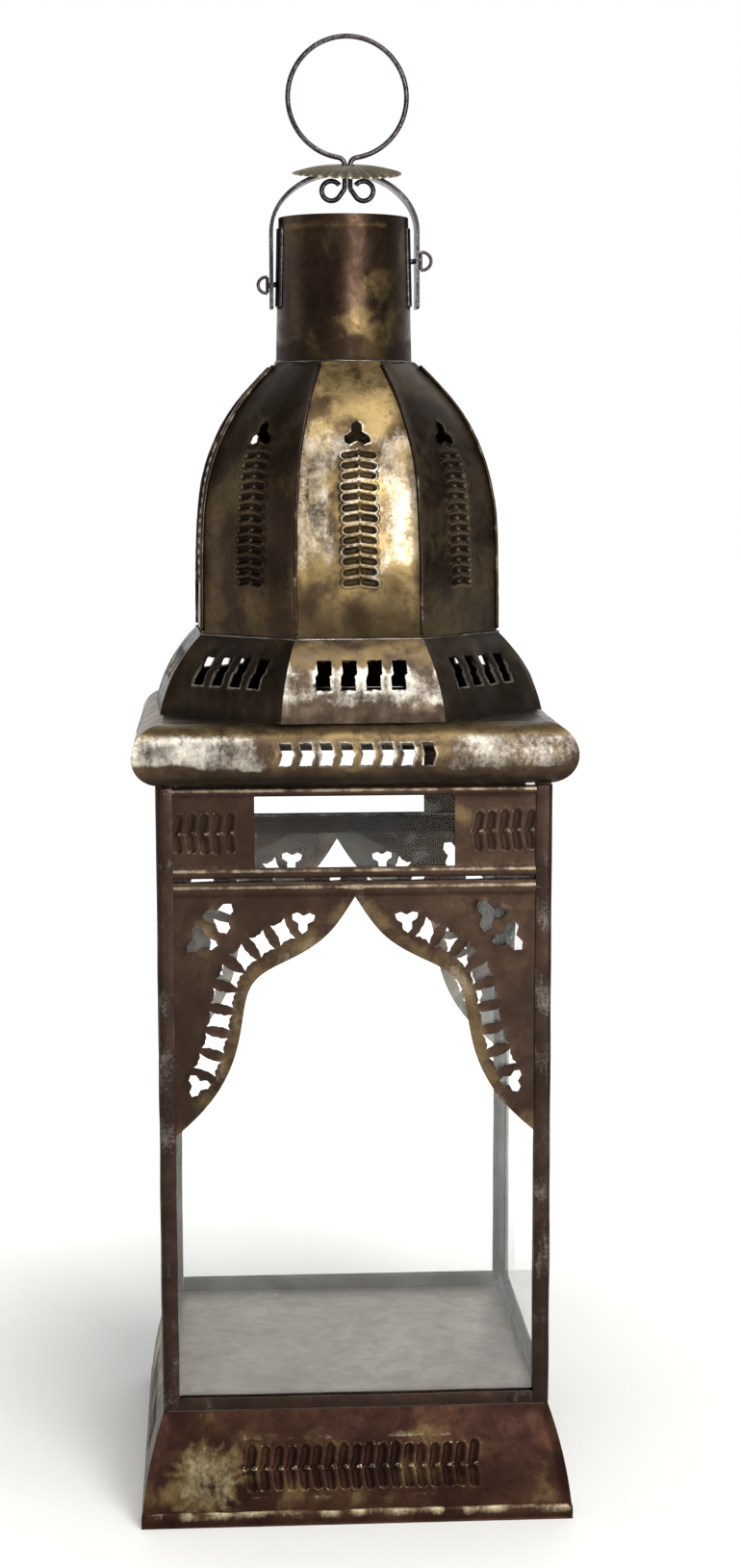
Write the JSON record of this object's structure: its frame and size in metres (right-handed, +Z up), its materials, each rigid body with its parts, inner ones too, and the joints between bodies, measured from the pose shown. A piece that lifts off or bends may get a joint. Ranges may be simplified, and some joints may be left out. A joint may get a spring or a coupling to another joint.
{
  "type": "moroccan metal lantern",
  "caption": "Square glazed metal candle lantern with a pierced arch on each side, hinged door, eight-sided dome, open chimney, swinging bail and hanging ring.",
  "frame": {"origin": "on the ground below the centre of the square base", "axes": "+Z up through the chimney, door towards -Y, +X to the right of someone facing the door"},
  "size_m": [0.1786, 0.1786, 0.6111],
  "materials": {
    "plinth_patina": "dark red-brown patina, rubbed pale at edges",
    "floor_metal": "grey-brown satin sheet",
    "frame_patina": "dark red-brown patina with pale worn ridges",
    "plate_patina": "dark brown patina, mottled",
    "cornice_patina": "satin, worn to pale gold on the crown of the moulding",
    "skirt_patina": "satin olive brown, worn to pale gold",
    "dome_patina": "satin olive brown, worn to silver gold in patches",
    "chimney_patina": "mottled brown and olive satin",
    "cap_brass": "dull beige brass",
    "strap_steel": "dark purplish steel",
    "wire_steel": "dark brown drawn wire",
    "pane_glass": "clear, slightly hazy"
  },
  "bodies": {
    "lantern_body": {"arch_back": "plate_patina", "arch_left": "plate_patina", "arch_right": "plate_patina", "bottom_rail_back": "frame_patina", "bottom_rail_left": "frame_patina", "bottom_rail_right": "frame_patina", "chimney": "chimney_patina", "cornice_back": "cornice_patina", "cornice_front": "cornice_patina", "cornice_left": "cornice_patina", "cornice_right": "cornice_patina", "dome_gore_1": "dome_patina", "dome_gore_2": "dome_patina", "dome_gore_3": "dome_patina", "dome_gore_4": "dome_patina", "dome_gore_5": "dome_patina", "dome_gore_6": "dome_patina", "dome_gore_7": "dome_patina", "dome_gore_8": "dome_patina", "dome_seams": "dome_patina", "floor_plate": "floor_metal", "frieze_back": "plate_patina", "frieze_left": "plate_patina", "frieze_right": "plate_patina", "glass_back": "pane_glass", "glass_left": "pane_glass", "glass_right": "pane_glass", "hinge_rod": "wire_steel", "lug_left": "chimney_patina", "lug_right": "chimney_patina", "pin_left": "wire_steel", "pin_right": "wire_steel", "plinth_back": "plinth_patina", "plinth_front": "plinth_patina", "plinth_left": "plinth_patina", "plinth_right": "plinth_patina", "post_back_left": "frame_patina", "post_back_right": "frame_patina", "post_front_left": "frame_patina", "post_front_right": "frame_patina", "roof_plate": "cornice_patina", "skirt_panel_1": "skirt_patina", "skirt_panel_2": "skirt_patina", "skirt_panel_3": "skirt_patina", "skirt_panel_4": "skirt_patina", "skirt_panel_5": "skirt_patina", "skirt_panel_6": "skirt_patina", "skirt_panel_7": "skirt_patina", "skirt_panel_8": "skirt_patina"},
    "door": {"door_arch": "plate_patina", "door_bottom_rail": "frame_patina", "door_free_stile": "frame_patina", "door_frieze": "plate_patina", "door_glass": "pane_glass", "door_hinge_stile": "frame_patina"},
    "bail": {"bail": "strap_steel"},
    "hanging_ring": {"hanging_ring": "wire_steel"},
    "rosette_cap": {"rosette_cap": "cap_brass"}
  },
  "joints": [
    {"name": "door_hinge", "type": "hinge", "parent": "lantern_body", "child": "door", "pos_m": [-0.0777, -0.0777, 0.047], "axis": [0, 0, -1], "range_deg": [0, 115]},
    {"name": "bail_swing", "type": "hinge", "parent": "lantern_body", "child": "bail", "pos_m": [0, 0, 0.513], "axis": [0.9864, 0, 0.1644], "range_deg": [-28, 28]},
    {"name": "ring_swivel", "type": "hinge", "parent": "bail", "child": "hanging_ring", "pos_m": [0.0018, 0, 0.5541], "axis": [0, 0, 1], "continuous": true},
    {"name": "cap_spin", "type": "hinge", "parent": "bail", "child": "rosette_cap", "pos_m": [0.0018, 0, 0.5545], "axis": [0, -0.1702, 0.9854], "continuous": true}
  ]
}
